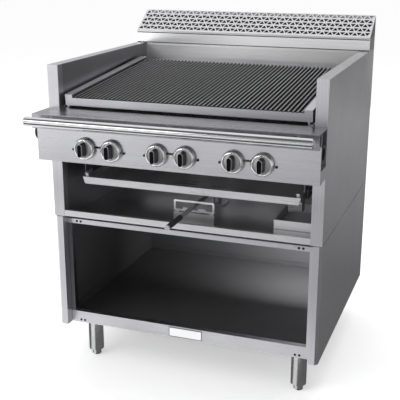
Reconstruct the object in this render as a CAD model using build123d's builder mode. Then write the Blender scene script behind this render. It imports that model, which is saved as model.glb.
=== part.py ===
"""Gas charbroiler on an open storage base, 34 in wide.

Millimetres, +Z up, +X to the right, +Y to the back. The origin is on the floor,
under the middle of the whole object.
"""
import math
import os

from build123d import *

os.makedirs("parts", exist_ok=True)

# ---------------------------------------------------------------- driving dimensions
half = 432.0            # half the body's width
front = -302.0          # front faces of the side panels
depth = 762.0           # front faces to the back of the cabinet
back = front + depth
sheet = 2.0             # sheet metal thickness
gap = 0.2               # clearance between sheet parts that touch

base_low = 146.0        # underside of the base cabinet
base_high = 521.0       # top of the base cabinet
seam = 523.0            # underside of the broiler section
wall_top = 1001.0       # top of the side walls
wall_in = 396.0         # inner face of the side walls
return_depth = 30.0     # how far the front flanges fold back

base_flange_in = 404.0  # inner edge of the base's front flanges
base_chamfer = 9.0      # slanted front corner of the base sides
frame_in = 390.0        # clear half width of the base opening
frame_y = front + 30.0  # front plane of the base's face frame
rail_low_top = 185.0    # top of the bottom rail
rail_high_low = 492.5   # underside of the top rail
rail_high_top = 507.5   # top of the top rail

leg_x = 355.0
leg_rows = (front + 102.0, front + 660.0)
leg_r = 25.0
leg_low = 22.0          # where the tube ends and the foot begins
foot_r = 15.2
screw_r = 8.0
running = 0.08          # radial clearance of the turning and sliding fits

shelf_z = 870.0
shelf_front = front - 103.0
panel_y = front - 76.0  # face of the control panel
panel_low = 723.5
rail_r = 14.0
rail_y = front - 150.0
rail_z = 856.0
rail_half = 428.0

knob_z = 771.0
pair_x = (-229.0, 0.0, 229.0)
knob_offset = 43.0
knob_r = 33.0
shaft_r = 4.0
burner_x = (-282.0, -173.0, -64.0, 64.0, 173.0, 282.0)
burner_r = 19.0

manifold_y = front - 45.0
manifold_z = 805.0
manifold_r = 21.0
pilot_z = 786.0

splash_y = front + 668.0
riser_y = front + 665.0
riser_top = 1044.0
cap_back = front + 768.0
cap_top = 1114.0
duct_low = 790.0

rack_tilt = math.radians(4.9)
rack_half = 385.0
rack_y = front + 20.0   # front bottom edge of the rack frame
rack_z = 876.5
rack_length = 578.0
rack_side = 24.0        # width of the side rails
hinge_y = front + 26.0
hinge_z = 866.0

lever_x = 4.0
lever_z = 569.0
lever_r = 6.8
pivot_y = front + 330.0
gate_y = front + 100.0
roller_y = front + 590.0
roller_z = 612.0
roller_r = 10.0

tray_z = 625.0
cavity_z = 512.0        # top of the cavity floor


def block(x0, x1, y0, y1, z0, z1, mode=Mode.ADD):
    """A box between two opposite corners, in the current part."""
    centre = ((x0 + x1) / 2, (y0 + y1) / 2, (z0 + z1) / 2)
    with Locations(centre):
        Box(abs(x1 - x0), abs(y1 - y0), abs(z1 - z0), mode=mode)


def rod(start, end, radius, mode=Mode.ADD):
    """A round bar from start to end, in the current part."""
    run = Vector(*end) - Vector(*start)
    with BuildSketch(Plane(origin=start, z_dir=run)) as section:
        Circle(radius)
    extrude(section.sketch, amount=run.length, mode=mode)


knob_x = [x + side * knob_offset for x in pair_x for side in (-1, 1)]

# ---------------------------------------------------------------- base cabinet
for name, side in (("left", -1), ("right", 1)):
    skin = half - sheet
    inner = base_flange_in + sheet
    outline = [
        (base_flange_in, front + return_depth),
        (base_flange_in, front),
        (half - base_chamfer, front),
        (half, front + base_chamfer),
        (half, back),
        (base_flange_in, back),
        (base_flange_in, back - sheet),
        (skin, back - sheet),
        (skin, front + base_chamfer + 0.8),
        (half - base_chamfer - 0.8, front + sheet),
        (inner, front + sheet),
        (inner, front + return_depth),
    ]
    with BuildPart() as base_side:
        with BuildSketch(Plane.XY.offset(base_low)):
            with BuildLine():
                Polyline(*[(side * x, y) for x, y in outline], close=True)
            make_face()
        extrude(amount=base_high - base_low)
    base_side.part.label = f"base_side_{name}"
    export_step(base_side.part, f"parts/base_side_{name}.step")

with BuildPart() as base_back:
    block(-skin + gap, skin - gap, back - 2 * sheet - gap, back - sheet - gap, base_low, base_high)
base_back.part.label = "base_back"
export_step(base_back.part, "parts/base_back.step")

with BuildPart() as base_floor:
    floor_back = back - 2 * sheet - 2 * gap
    block(-skin + gap, skin - gap, frame_y + 6, floor_back, 150, 150 + sheet)
    for side in (-1, 1):
        block(side * (skin - gap - sheet), side * (skin - gap), frame_y + 6, floor_back, 150, 168)
    block(-skin + gap, skin - gap, floor_back - sheet, floor_back, 150, 168)
base_floor.part.label = "base_floor"
export_step(base_floor.part, "parts/base_floor.step")

rail_end = base_flange_in - 0.5
hinge_holes = [side * x for side in (-1, 1) for x in (357.0, 370.5)]

with BuildPart() as base_bottom_rail:
    block(-rail_end, rail_end, frame_y, frame_y + sheet, base_low, rail_low_top)
    block(-rail_end, rail_end, frame_y, frame_y + 20, rail_low_top - sheet, rail_low_top)
    block(-rail_end, rail_end, frame_y, frame_y + 20, base_low, base_low + sheet)
    for x in hinge_holes:
        rod((x, frame_y - 1, 155), (x, frame_y + 4, 155), 3.2, Mode.SUBTRACT)
base_bottom_rail.part.label = "base_bottom_rail"
export_step(base_bottom_rail.part, "parts/base_bottom_rail.step")

with BuildPart() as base_top_rail:
    block(-rail_end, rail_end, frame_y, frame_y + sheet, rail_high_low, rail_high_top)
    block(-rail_end, rail_end, frame_y, frame_y + 20, rail_high_low, rail_high_low + sheet)
    block(-rail_end, rail_end, frame_y, frame_y + 20, rail_high_top - sheet, rail_high_top)
    for x in hinge_holes:
        rod((x, frame_y - 1, 500), (x, frame_y + 4, 500), 3.2, Mode.SUBTRACT)
base_top_rail.part.label = "base_top_rail"
export_step(base_top_rail.part, "parts/base_top_rail.step")

with BuildPart() as base_stiles:
    for side in (-1, 1):
        stile = (rail_low_top + gap, rail_high_low - gap)
        block(side * frame_in, side * rail_end, frame_y, frame_y + sheet, *stile)
        block(side * frame_in, side * (frame_in + sheet), frame_y, frame_y + 20, *stile)
base_stiles.part.label = "base_stiles"
export_step(base_stiles.part, "parts/base_stiles.step")

with BuildPart() as nameplate:
    block(-56, 56, frame_y - 1.8, frame_y - gap, 148.5, 181)
    fillet(nameplate.edges().filter_by(Axis.Y), radius=2)
nameplate.part.label = "nameplate"
export_step(nameplate.part, "parts/nameplate.step")

leg_spots = [(side * leg_x, y) for y in leg_rows for side in (-1, 1)]

with BuildPart() as leg_sockets:
    with BuildSketch(Plane.XY.offset(145.8)):
        with Locations(*leg_spots):
            RectangleRounded(96, 96, 8)
    extrude(amount=4)
    with BuildSketch(Plane.XY.offset(115)):
        with Locations(*leg_spots):
            Circle(leg_r - 3 - running)
    extrude(amount=32)
    with BuildSketch(Plane.XY.offset(115)):
        with Locations(*leg_spots):
            Circle(leg_r - 6)
    extrude(amount=25, mode=Mode.SUBTRACT)
leg_sockets.part.label = "leg_sockets"
export_step(leg_sockets.part, "parts/leg_sockets.step")

with BuildPart() as leg_tubes:
    with BuildSketch(Plane.XY.offset(leg_low)):
        with Locations(*leg_spots):
            Circle(leg_r)
    extrude(amount=145.6 - leg_low)
    with BuildSketch(Plane.XY.offset(leg_low + 12)):
        with Locations(*leg_spots):
            Circle(leg_r - 3)
    extrude(amount=145.6, mode=Mode.SUBTRACT)
    with BuildSketch(Plane.XY.offset(leg_low - 1)):
        with Locations(*leg_spots):
            Circle(screw_r + running)
    extrude(amount=20, mode=Mode.SUBTRACT)
leg_tubes.part.label = "leg_tubes"
export_step(leg_tubes.part, "parts/leg_tubes.step")

foot_names = ("front_left", "front_right", "rear_left", "rear_right")
for name, (x, y) in zip(foot_names, leg_spots):
    with BuildPart() as foot:
        with BuildSketch(Plane(origin=(x, y, 0), x_dir=(1, 0, 0), z_dir=(0, -1, 0))):
            with BuildLine():
                Polyline((0, 0), (13.2, 0), (foot_r, 2), (foot_r, 13), (foot_r, leg_low - 0.3),
                         (screw_r, leg_low - 0.3), (screw_r, 72), (screw_r - 1.5, 73.5), (0, 73.5),
                         close=True)
            make_face()
        revolve(axis=Axis((x, y, 0), (0, 0, 1)))
    foot.part.label = f"foot_{name}"
    export_step(foot.part, f"parts/foot_{name}.step")

# ---------------------------------------------------------------- broiler section, outside
for name, side in (("left", -1), ("right", 1)):
    with BuildPart() as side_shell:
        block(side * (half - sheet), side * half, front, back, seam, wall_top)
        block(side * wall_in, side * half, front, front + sheet, seam, wall_top)
        block(side * wall_in, side * (wall_in + sheet), front, front + return_depth, seam, wall_top)
        block(side * (wall_in + sheet + gap), side * half, front, back, wall_top - sheet, wall_top)
        block(side * (wall_in + 8), side * half, back - sheet, back, seam, wall_top)
        fillet(side_shell.edges().filter_by(Axis.Z).group_by(Axis.Y)[0], radius=1.2)
    side_shell.part.label = f"side_shell_{name}"
    export_step(side_shell.part, f"parts/side_shell_{name}.step")

    with BuildPart() as side_liner:
        liner_back = splash_y - gap
        block(side * wall_in, side * (wall_in + sheet), front + return_depth + 1, liner_back,
              seam - 10, wall_top)
    side_liner.part.label = f"side_liner_{name}"
    export_step(side_liner.part, f"parts/side_liner_{name}.step")

with BuildPart() as back_panel:
    block(-skin + gap, skin - gap, back - 2 * sheet - gap, back - sheet - gap, seam, wall_top - 3)
back_panel.part.label = "back_panel"
export_step(back_panel.part, "parts/back_panel.step")

with BuildPart() as flue_duct_cover:
    block(-half, half, cap_back - sheet, cap_back, duct_low, riser_top)
    block(-half, half, back + gap, cap_back, duct_low, duct_low + sheet)
    for side in (-1, 1):
        block(side * (half - sheet), side * half, back + gap, cap_back, duct_low, riser_top)
flue_duct_cover.part.label = "flue_duct_cover"
export_step(flue_duct_cover.part, "parts/flue_duct_cover.step")

with BuildPart() as splash_back:
    block(-wall_in + gap, wall_in - gap, splash_y, splash_y + sheet, 560, wall_top)
    block(-wall_in + gap, wall_in - gap, splash_y - 2, splash_y + sheet, 991, 996)
splash_back.part.label = "splash_back"
export_step(splash_back.part, "parts/splash_back.step")

with BuildPart() as flue_riser:
    riser_low = wall_top + 0.3
    hem_z = riser_top - 7.0
    block(-half, half, riser_y, riser_y + sheet, riser_low + 2.7, hem_z)
    block(-half, half, riser_y, riser_y + 16, hem_z - sheet, hem_z)
    block(-half, half, back - sheet, back, riser_low, riser_top)
    for side in (-1, 1):
        block(side * (half - sheet), side * half, riser_y, back, riser_low, riser_top)
flue_riser.part.label = "flue_riser"
export_step(flue_riser.part, "parts/flue_riser.step")

# The cap slopes up to the back and is pierced by rows of alternating triangles.
cap_low = riser_top + 2.3
cap_rise = math.atan2(cap_top - cap_low, cap_back - riser_y)
cap_slope = math.hypot(cap_top - cap_low, cap_back - riser_y)
cap_plane = Plane(origin=(0, riser_y, cap_low), x_dir=(1, 0, 0),
                  z_dir=(0, -math.sin(cap_rise), math.cos(cap_rise)))
triangle_pitch = 28.42
triangle_rows = 5
row_pitch = 0.188 * cap_slope
row_start = 0.142 * cap_slope
triangle_r = 10.6
up_spots = []
down_spots = []
for row in range(triangle_rows):
    height = row_start + row * row_pitch
    for number in range(-30, 30):
        x = (number + 0.5) * triangle_pitch / 2
        if (number + row) % 2:
            down_spots.append((x, height + 2.7))
        else:
            up_spots.append((x, height - 2.7))
with BuildPart() as flue_cap:
    with BuildSketch(cap_plane):
        with Locations((0, cap_slope / 2)):
            Rectangle(2 * half, cap_slope)
        with Locations(*up_spots):
            RegularPolygon(triangle_r, 3, rotation=90, mode=Mode.SUBTRACT)
        with Locations(*down_spots):
            RegularPolygon(triangle_r, 3, rotation=-90, mode=Mode.SUBTRACT)
    extrude(amount=-sheet)
    lip_half = half - sheet - 0.4
    block(-lip_half, lip_half, riser_y, riser_y + sheet, riser_top - 4.2, cap_low)
    for side in (-1, 1):
        with BuildSketch(Plane.YZ.offset(side * half)):
            with BuildLine():
                Polyline((riser_y, cap_low), (cap_back, cap_top), (cap_back, riser_top + 0.3),
                         (riser_y + 1, riser_top + 0.3), close=True)
            make_face()
        extrude(amount=-side * sheet)
    block(-half, half, cap_back - sheet, cap_back, riser_top + 0.3, cap_top - 1.5)
flue_cap.part.label = "flue_cap"
export_step(flue_cap.part, "parts/flue_cap.step")

# ---------------------------------------------------------------- cavity and firebox
floor_half = wall_in - gap
web_y = front + 42.0    # where the front sill steps down to the cavity floor
with BuildPart() as cavity_floor:
    with BuildSketch(Plane.YZ.offset(-floor_half)):
        with BuildLine():
            Polyline(
                (front + 12, 543.5), (front, 543.5), (front, 524.5), (web_y - sheet, 524.5),
                (web_y - sheet, cavity_z - sheet), (splash_y - 1, cavity_z - sheet),
                (splash_y - 1, cavity_z), (web_y, cavity_z), (web_y, 526.5),
                (front + 2, 526.5), (front + 2, 541.5), (front + 12, 541.5), close=True)
        make_face()
    extrude(amount=2 * floor_half)
cavity_floor.part.label = "cavity_floor"
export_step(cavity_floor.part, "parts/cavity_floor.step")

mixer_start = front - 12.0
mixer_end = front + 66.0
baffle_y = front + 5.0


def mixer_x(valve, burner, y):
    """Where a mixing tube that joins a valve to a burner crosses the plane y."""
    return valve + (burner - valve) * (y - mixer_start) / (mixer_end - mixer_start)


with BuildPart() as firebox_front:
    block(-floor_half, floor_half, baffle_y, baffle_y + sheet, 735, shelf_z - 2)
    block(-floor_half, floor_half, baffle_y, baffle_y + 16, 735, 735 + sheet)
    for valve, burner in zip(knob_x, burner_x):
        x = mixer_x(valve, burner, baffle_y + 1)
        rod((x, baffle_y - 1, knob_z), (x, baffle_y + 4, knob_z), 17.5, Mode.SUBTRACT)
    for x in pair_x:
        rod((x, baffle_y - 1, pilot_z), (x, baffle_y + 4, pilot_z), 5, Mode.SUBTRACT)
firebox_front.part.label = "firebox_front"
export_step(firebox_front.part, "parts/firebox_front.step")

with BuildPart() as burner_rail:
    rail_top = knob_z - burner_r - gap
    block(-floor_half, floor_half, front + 530, front + 552, rail_top - sheet, rail_top)
    block(-floor_half, floor_half, front + 530, front + 532, rail_top - 16, rail_top)
burner_rail.part.label = "burner_rail"
export_step(burner_rail.part, "parts/burner_rail.step")

radiant_low = 802.0
with BuildPart() as radiant_rails:
    for y in (front + 42, front + 543):
        block(-floor_half, floor_half, y, y + 20, radiant_low - sheet, radiant_low)
        block(-floor_half, floor_half, y, y + sheet, radiant_low - 9, radiant_low)
radiant_rails.part.label = "radiant_rails"
export_step(radiant_rails.part, "parts/radiant_rails.step")

port_spots = []
for x in burner_x:
    for port in range(15):
        for flare in (-9, 9):
            port_spots.append((x + flare, front + 90 + port * 30, knob_z + 15))
with BuildPart() as burners:
    for valve, burner in zip(knob_x, burner_x):
        start = (valve, mixer_start, knob_z)
        end = (burner, mixer_end, knob_z)
        rod((burner, front + 58, knob_z), (burner, front + 560, knob_z), burner_r)
        rod(start, end, 14)
        rod((burner, front + 61, knob_z), (burner, front + 557, knob_z), burner_r - 3, Mode.SUBTRACT)
        rod(start, end, 11.5, Mode.SUBTRACT)
    with Locations(*port_spots):
        Box(8, 4, 14, mode=Mode.SUBTRACT)
burners.part.label = "burners"
export_step(burners.part, "parts/burners.step")

radiant_length = 258.0
slot_spots = []
for x in burner_x:
    for start in (front + 44, front + 44 + radiant_length + 3):
        for slot in range(5):
            for wing in (-24, 24):
                slot_spots.append((x + wing, start + 33 + slot * 48, 830))
with BuildPart() as radiants:
    for x in burner_x:
        for y in (front + 44, front + 44 + radiant_length + 3):
            with BuildSketch(Plane.XZ.offset(-y)):
                with BuildLine():
                    Polyline((x - 48, radiant_low + gap), (x - 4, 845), (x + 4, 845),
                             (x + 48, radiant_low + gap), (x + 41, radiant_low + gap),
                             (x + 2, 838), (x - 2, 838), (x - 41, radiant_low + gap), close=True)
                make_face()
            extrude(amount=-radiant_length)
    with Locations(*slot_spots):
        Box(18, 14, 40, mode=Mode.SUBTRACT)
radiants.part.label = "radiants"
export_step(radiants.part, "parts/radiants.step")

# ---------------------------------------------------------------- gas train
with BuildPart() as manifold_pipe:
    rod((-half, manifold_y, manifold_z), (half - 20, manifold_y, manifold_z), manifold_r)
    rod((-half - 1, manifold_y, manifold_z), (half, manifold_y, manifold_z), manifold_r - 3.6,
        Mode.SUBTRACT)
    for x in knob_x:
        rod((x, manifold_y, manifold_z - 30), (x, manifold_y, manifold_z), 6.5, Mode.SUBTRACT)
manifold_pipe.part.label = "manifold_pipe"
export_step(manifold_pipe.part, "parts/manifold_pipe.step")

with BuildPart() as manifold_cap:
    rod((-half - 14, manifold_y, manifold_z), (-half + 14, manifold_y, manifold_z), 25)
    rod((-half - 6, manifold_y, manifold_z), (-half + 15, manifold_y, manifold_z),
        manifold_r + running, Mode.SUBTRACT)
    fillet(manifold_cap.edges().group_by(Axis.X)[0], radius=4)
manifold_cap.part.label = "manifold_cap"
export_step(manifold_cap.part, "parts/manifold_cap.step")

inlet_r = 19.5
with BuildPart() as manifold_coupling:
    rod((half - 40, manifold_y, manifold_z), (half, manifold_y, manifold_z), 25)
    rod((half - 41, manifold_y, manifold_z), (half - 20 + gap, manifold_y, manifold_z),
        manifold_r + running, Mode.SUBTRACT)
    rod((half - 21, manifold_y, manifold_z), (half + 1, manifold_y, manifold_z), inlet_r,
        Mode.SUBTRACT)
manifold_coupling.part.label = "manifold_coupling"
export_step(manifold_coupling.part, "parts/manifold_coupling.step")

with BuildPart() as gas_valves:
    for x in knob_x:
        rod((x, front - 68, knob_z), (x, front - 28, knob_z), 11)
        rod((x, front - 29, knob_z), (x, front - 18, knob_z), 5)
        rod((x, manifold_y, knob_z), (x, manifold_y, manifold_z - 14), 6.3)
        rod((x, front - 69, knob_z), (x, front - 50, knob_z), shaft_r + running, Mode.SUBTRACT)
        rod((x, front - 51, knob_z), (x, front - 17, knob_z), 1.2, Mode.SUBTRACT)
gas_valves.part.label = "gas_valves"
export_step(gas_valves.part, "parts/gas_valves.step")

with BuildPart() as pilot_tubes:
    for x in pair_x:
        with BuildLine():
            FilletPolyline((x, front - 22, pilot_z), (x, front + 110, pilot_z),
                           (x, front + 110, pilot_z + 20), radius=9)
        with BuildSketch(Plane(origin=(x, front - 22, pilot_z), z_dir=(0, 1, 0))):
            Circle(3)
        sweep()
pilot_tubes.part.label = "pilot_tubes"
export_step(pilot_tubes.part, "parts/pilot_tubes.step")

# ---------------------------------------------------------------- control panel and shelf
with BuildPart() as control_panel:
    block(-half, half, panel_y, panel_y + sheet, panel_low, 866)
    block(-half, half, panel_y, panel_y + 26, panel_low, panel_low + sheet)
    for side in (-1, 1):
        block(side * (half - sheet), side * half, panel_y, panel_y + 5, panel_low, 866)
    fillet(control_panel.edges().filter_by(Axis.X).group_by(Axis.Z)[0].group_by(Axis.Y)[0], radius=1.5)
    for x in knob_x:
        rod((x, panel_y - 1, knob_z), (x, panel_y + 4, knob_z), 7, Mode.SUBTRACT)
    for x in pair_x:
        block(x - 14, x + 14, panel_y - 1, panel_y + 4, 773.5, 780, Mode.SUBTRACT)
        for side in (-1, 1):
            rod((x + side * 82, panel_y - 1, 766), (x + side * 82, panel_y + 4, 766), 2.6,
                Mode.SUBTRACT)
control_panel.part.label = "control_panel"
export_step(control_panel.part, "parts/control_panel.step")

with BuildPart() as panel_screws:
    for x in pair_x:
        for side in (-1, 1):
            spot = x + side * 82
            rod((spot, panel_y - 0.1, 766), (spot, panel_y + 9, 766), 2.4)
            with BuildSketch(Plane(origin=(spot, panel_y - 0.1, 766), z_dir=(0, -1, 0))):
                RegularPolygon(4.0, 6)
            extrude(amount=3.4)
panel_screws.part.label = "panel_screws"
export_step(panel_screws.part, "parts/panel_screws.step")

end_low = panel_low + sheet + gap
with BuildPart() as control_box_ends:
    for side in (-1, 1):
        block(side * (half - sheet), side * half, panel_y + 5 + gap, front - gap, end_low, 762)
        block(side * (half - 16), side * half, front - sheet - gap, front - gap, end_low, 762)
        rod((side * (half - 6), front - 30, 736), (side * half, front - 30, 736), 2.2, Mode.SUBTRACT)
control_box_ends.part.label = "control_box_ends"
export_step(control_box_ends.part, "parts/control_box_ends.step")

with BuildPart() as front_shelf:
    block(-half, half, shelf_front, front - gap, shelf_z - sheet, shelf_z)
    block(-floor_half, floor_half, front - 1, front + 3, shelf_z - sheet, shelf_z)
    block(-floor_half, floor_half, front + 1, front + 3, shelf_z - 20, shelf_z)
    block(-half, half, shelf_front, shelf_front + sheet, 827, shelf_z)
    block(-half, half, shelf_front, shelf_front + 14, 827, 827 + sheet)
    fillet(front_shelf.edges().filter_by(Axis.X).group_by(Axis.Z)[-1].group_by(Axis.Y)[0], radius=1.8)
front_shelf.part.label = "front_shelf"
export_step(front_shelf.part, "parts/front_shelf.step")

with BuildPart() as front_rail:
    rod((-rail_half, rail_y, rail_z), (rail_half, rail_y, rail_z), rail_r)
    fillet(front_rail.edges().group_by(Axis.X)[0], radius=5)
    fillet(front_rail.edges().group_by(Axis.X)[-1], radius=5)
front_rail.part.label = "front_rail"
export_step(front_rail.part, "parts/front_rail.step")

with BuildPart() as rail_brackets:
    for x in (-370, 0, 370):
        rod((x, shelf_front - gap, rail_z - 6), (x, shelf_front - 5, rail_z - 6), 14)
        rod((x, shelf_front - 4, rail_z - 6), (x, rail_y + 6, rail_z - 6), 7)
    rod((-rail_half, rail_y, rail_z), (rail_half, rail_y, rail_z), rail_r + 0.1, Mode.SUBTRACT)
rail_brackets.part.label = "rail_brackets"
export_step(rail_brackets.part, "parts/rail_brackets.step")

# A knob: dished skirt, tall grip bar and its own shaft, which runs in the valve.
skirt_back = panel_y - 3.0
skirt_front = panel_y - 18.0
grip_front = panel_y - 40.0
for number, x in enumerate(knob_x, 1):
    with BuildPart() as knob:
        with BuildSketch(Plane(origin=(x, skirt_back, knob_z), x_dir=(1, 0, 0), z_dir=(0, 0, 1))):
            with BuildLine():
                Polyline((0, 0), (knob_r, 0), (knob_r, -9), (knob_r - 8, -15), (knob_r - 9.5, -11),
                         (0, -11), close=True)
            make_face()
        revolve(axis=Axis((x, 0, knob_z), (0, 1, 0)))
        with BuildSketch(Plane(origin=(x, skirt_front + 6, knob_z), x_dir=(1, 0, 0), z_dir=(0, -1, 0))):
            SlotOverall(46, 16, rotation=90)
        extrude(amount=skirt_front + 6 - grip_front)
        fillet(knob.faces().sort_by(Axis.Y)[0].edges(), radius=1.5)
        rod((x, skirt_back - 1, knob_z), (x, front - 52, knob_z), shaft_r)
    knob.part.label = f"knob_{number}"
    export_step(knob.part, f"parts/knob_{number}.step")

# ---------------------------------------------------------------- tilting grate rack
rack_plane = Plane(origin=(0, rack_y, rack_z), x_dir=(1, 0, 0),
                   z_dir=(0, -math.sin(rack_tilt), math.cos(rack_tilt)))


def rack_box(x0, x1, v0, v1, w0, w1, mode=Mode.ADD):
    """A box given in the rack's own frame: across, along the slope, and square to it."""
    with BuildSketch(rack_plane.offset(w0)) as section:
        with Locations(((x0 + x1) / 2, (v0 + v1) / 2)):
            Rectangle(abs(x1 - x0), abs(v1 - v0))
    extrude(section.sketch, amount=w1 - w0, mode=mode)


side_height = 34.0
front_height = 24.0
bar_sheet = 3.0
rack_open = rack_half - rack_side
with BuildPart() as rack_frame:
    rack_box(-rack_half, rack_half, 0, bar_sheet, 0, front_height)
    rack_box(-rack_half, rack_half, 0, 22, 0, bar_sheet)
    rack_box(-rack_half, rack_half, rack_length - bar_sheet, rack_length, 0, 20)
    rack_box(-rack_half, rack_half, rack_length - 26, rack_length, 0, bar_sheet)
    for side in (-1, 1):
        rack_box(side * (rack_half - bar_sheet), side * rack_half, 0, rack_length, 0, side_height)
        rack_box(side * rack_open, side * rack_half, 0, rack_length, side_height - bar_sheet, side_height)
        rack_box(side * rack_open, side * rack_half, 0, bar_sheet, 0, side_height)
        rack_box(side * (rack_open - 14), side * rack_half, 0, rack_length, 0, bar_sheet)
    for v in (190, 385):
        rack_box(-rack_half, rack_half, v - 10, v + 10, 0, bar_sheet)
    for side in (-1, 1):
        block(side * 372, side * 378, hinge_y - 8, hinge_y + 8, hinge_z - 8, rack_z + 1.5)
        rod((side * 373, hinge_y, hinge_z), (side * (wall_in - 2), hinge_y, hinge_z), 5)
rack_frame.part.label = "rack_frame"
export_step(rack_frame.part, "parts/rack_frame.step")

with BuildPart() as rack_bearings:
    for side in (-1, 1):
        block(side * 386, side * (wall_in - 0.1), hinge_y - 9, hinge_y + 22, hinge_z - 9, hinge_z + 8.5)
        rod((side * 384, hinge_y, hinge_z), (side * wall_in, hinge_y, hinge_z), 5 + running,
            Mode.SUBTRACT)
rack_bearings.part.label = "rack_bearings"
export_step(rack_bearings.part, "parts/rack_bearings.step")

grate_count = 6
bars_each = 9
grate_width = 2 * (rack_open - 1) / grate_count
bar_pitch = grate_width / bars_each
grate_v0 = 4.0
grate_v1 = rack_length - 5.0
grate_low = bar_sheet + 0.4
grate_top = 26.0
bar_plane = Plane(origin=rack_plane.from_local_coords((0, grate_v0, 0)), x_dir=(1, 0, 0),
                  z_dir=(0, -math.cos(rack_tilt), -math.sin(rack_tilt)))
with BuildPart() as grates:
    for number in range(grate_count):
        left = -rack_open + 1 + number * grate_width
        with BuildSketch(bar_plane):
            for bar in range(bars_each):
                x = left + (bar + 0.5) * bar_pitch
                with BuildLine():
                    Polyline((x - 3.6, grate_low + 4), (x - 2.6, grate_top), (x + 2.6, grate_top),
                             (x + 3.6, grate_low + 4), close=True)
                make_face()
        extrude(amount=-(grate_v1 - grate_v0))
        edge_left = left + 0.4
        edge_right = left + grate_width - 0.4
        for v in (grate_v0, 145, 287, 429, grate_v1 - 8):
            rack_box(edge_left, edge_right, v, v + 8, grate_low, grate_top - 7)
grates.part.label = "grates"
export_step(grates.part, "parts/grates.step")

leg_top = 924.0
with BuildPart() as lift_leg:
    block(lever_x - 15, lever_x + 15, roller_y - 2, roller_y + 3, roller_z + 14, leg_top)
    block(lever_x - 15, lever_x + 15, roller_y - 12, roller_y + 3, leg_top - 5, leg_top)
    for side in (-1, 1):
        rod((lever_x, roller_y + side * 6, roller_z), (lever_x, roller_y + side * 10, roller_z), 8)
        block(lever_x - 8, lever_x + 8, roller_y + side * 6, roller_y + side * 10, roller_z,
              roller_z + 19)
    block(lever_x - 15, lever_x + 15, roller_y - 10, roller_y + 10, roller_z + 14, roller_z + 19)
    rod((lever_x, roller_y - 11, roller_z), (lever_x, roller_y + 11, roller_z), 4)
lift_leg.part.label = "lift_leg"
export_step(lift_leg.part, "parts/lift_leg.step")

with BuildPart() as lift_roller:
    rod((lever_x, roller_y - 5, roller_z), (lever_x, roller_y + 5, roller_z), roller_r)
    fillet(lift_roller.edges(), radius=2.2)
    rod((lever_x, roller_y - 9, roller_z), (lever_x, roller_y + 9, roller_z), 4 + running,
        Mode.SUBTRACT)
lift_roller.part.label = "lift_roller"
export_step(lift_roller.part, "parts/lift_roller.step")

# ---------------------------------------------------------------- rack lever
lever_front = front - 121.0
tail_end = front + 584.0
with BuildPart() as lever_rod:
    rod((lever_x, lever_front, lever_z), (lever_x, tail_end, lever_z), lever_r)
    rod((lever_x, lever_front, lever_z), (lever_x, lever_front + 5, lever_z), 8)
    rod((lever_x, pivot_y, lever_z - 11), (lever_x, pivot_y, lever_z + 11), 15)
    rod((lever_x, pivot_y, lever_z - 12), (lever_x, pivot_y, lever_z + 12), 7 + running,
        Mode.SUBTRACT)
lever_rod.part.label = "lever_rod"
export_step(lever_rod.part, "parts/lever_rod.step")

with BuildPart() as lever_grip:
    rod((lever_x, lever_front + 5.2, lever_z), (lever_x, lever_front + 105, lever_z), 8.5)
    rod((lever_x, lever_front + 5, lever_z), (lever_x, lever_front + 106, lever_z), lever_r + 0.1,
        Mode.SUBTRACT)
lever_grip.part.label = "lever_grip"
export_step(lever_grip.part, "parts/lever_grip.step")

# The cam falls to the right, so swinging the grip to the right lowers the rack. Its slight crown
# makes the lift follow the swing evenly.
cam_half = 60.0
cam_mid = 596.2         # height of the cam's face at its middle
cam_left = (lever_x - cam_half, cam_mid + 0.9411 * cam_half - 4.2)
cam_right = (lever_x + cam_half, cam_mid - 0.9411 * cam_half - 4.2)
with BuildPart() as lift_cam:
    with BuildSketch(Plane.XZ.offset(-(front + 552))):
        with BuildLine():
            ThreePointArc(cam_left, (lever_x, cam_mid), cam_right)
            Polyline(cam_right, (cam_right[0], cam_right[1] - 8), (lever_x, cam_mid - 8),
                     (cam_left[0], cam_left[1] - 8), cam_left)
        make_face()
    extrude(amount=-74)
    with BuildSketch(Plane.XZ.offset(-(front + 584.2))):
        with BuildLine():
            Polyline((cam_left[0], cam_left[1] - 2), (lever_x, cam_mid - 2),
                     (cam_right[0], cam_right[1] - 2), (cam_right[0], cam_right[1] - 8),
                     (lever_x + 10, lever_z - 12), (lever_x - 12, lever_z - 12),
                     (cam_left[0], cam_left[1] - 8), close=True)
        make_face()
    extrude(amount=-6)
lift_cam.part.label = "lift_cam"
export_step(lift_cam.part, "parts/lift_cam.step")

with BuildPart() as lever_pivot_post:
    block(lever_x - 30, lever_x + 30, pivot_y - 30, pivot_y + 30, cavity_z + gap, cavity_z + 5)
    rod((lever_x, pivot_y, cavity_z + 4), (lever_x, pivot_y, lever_z - 11.5), 14)
    rod((lever_x, pivot_y, lever_z - 14), (lever_x, pivot_y, lever_z + 18), 7)
    rod((lever_x, pivot_y, lever_z + 11.6), (lever_x, pivot_y, lever_z + 16), 12)
lever_pivot_post.part.label = "lever_pivot_post"
export_step(lever_pivot_post.part, "parts/lever_pivot_post.step")

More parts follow.
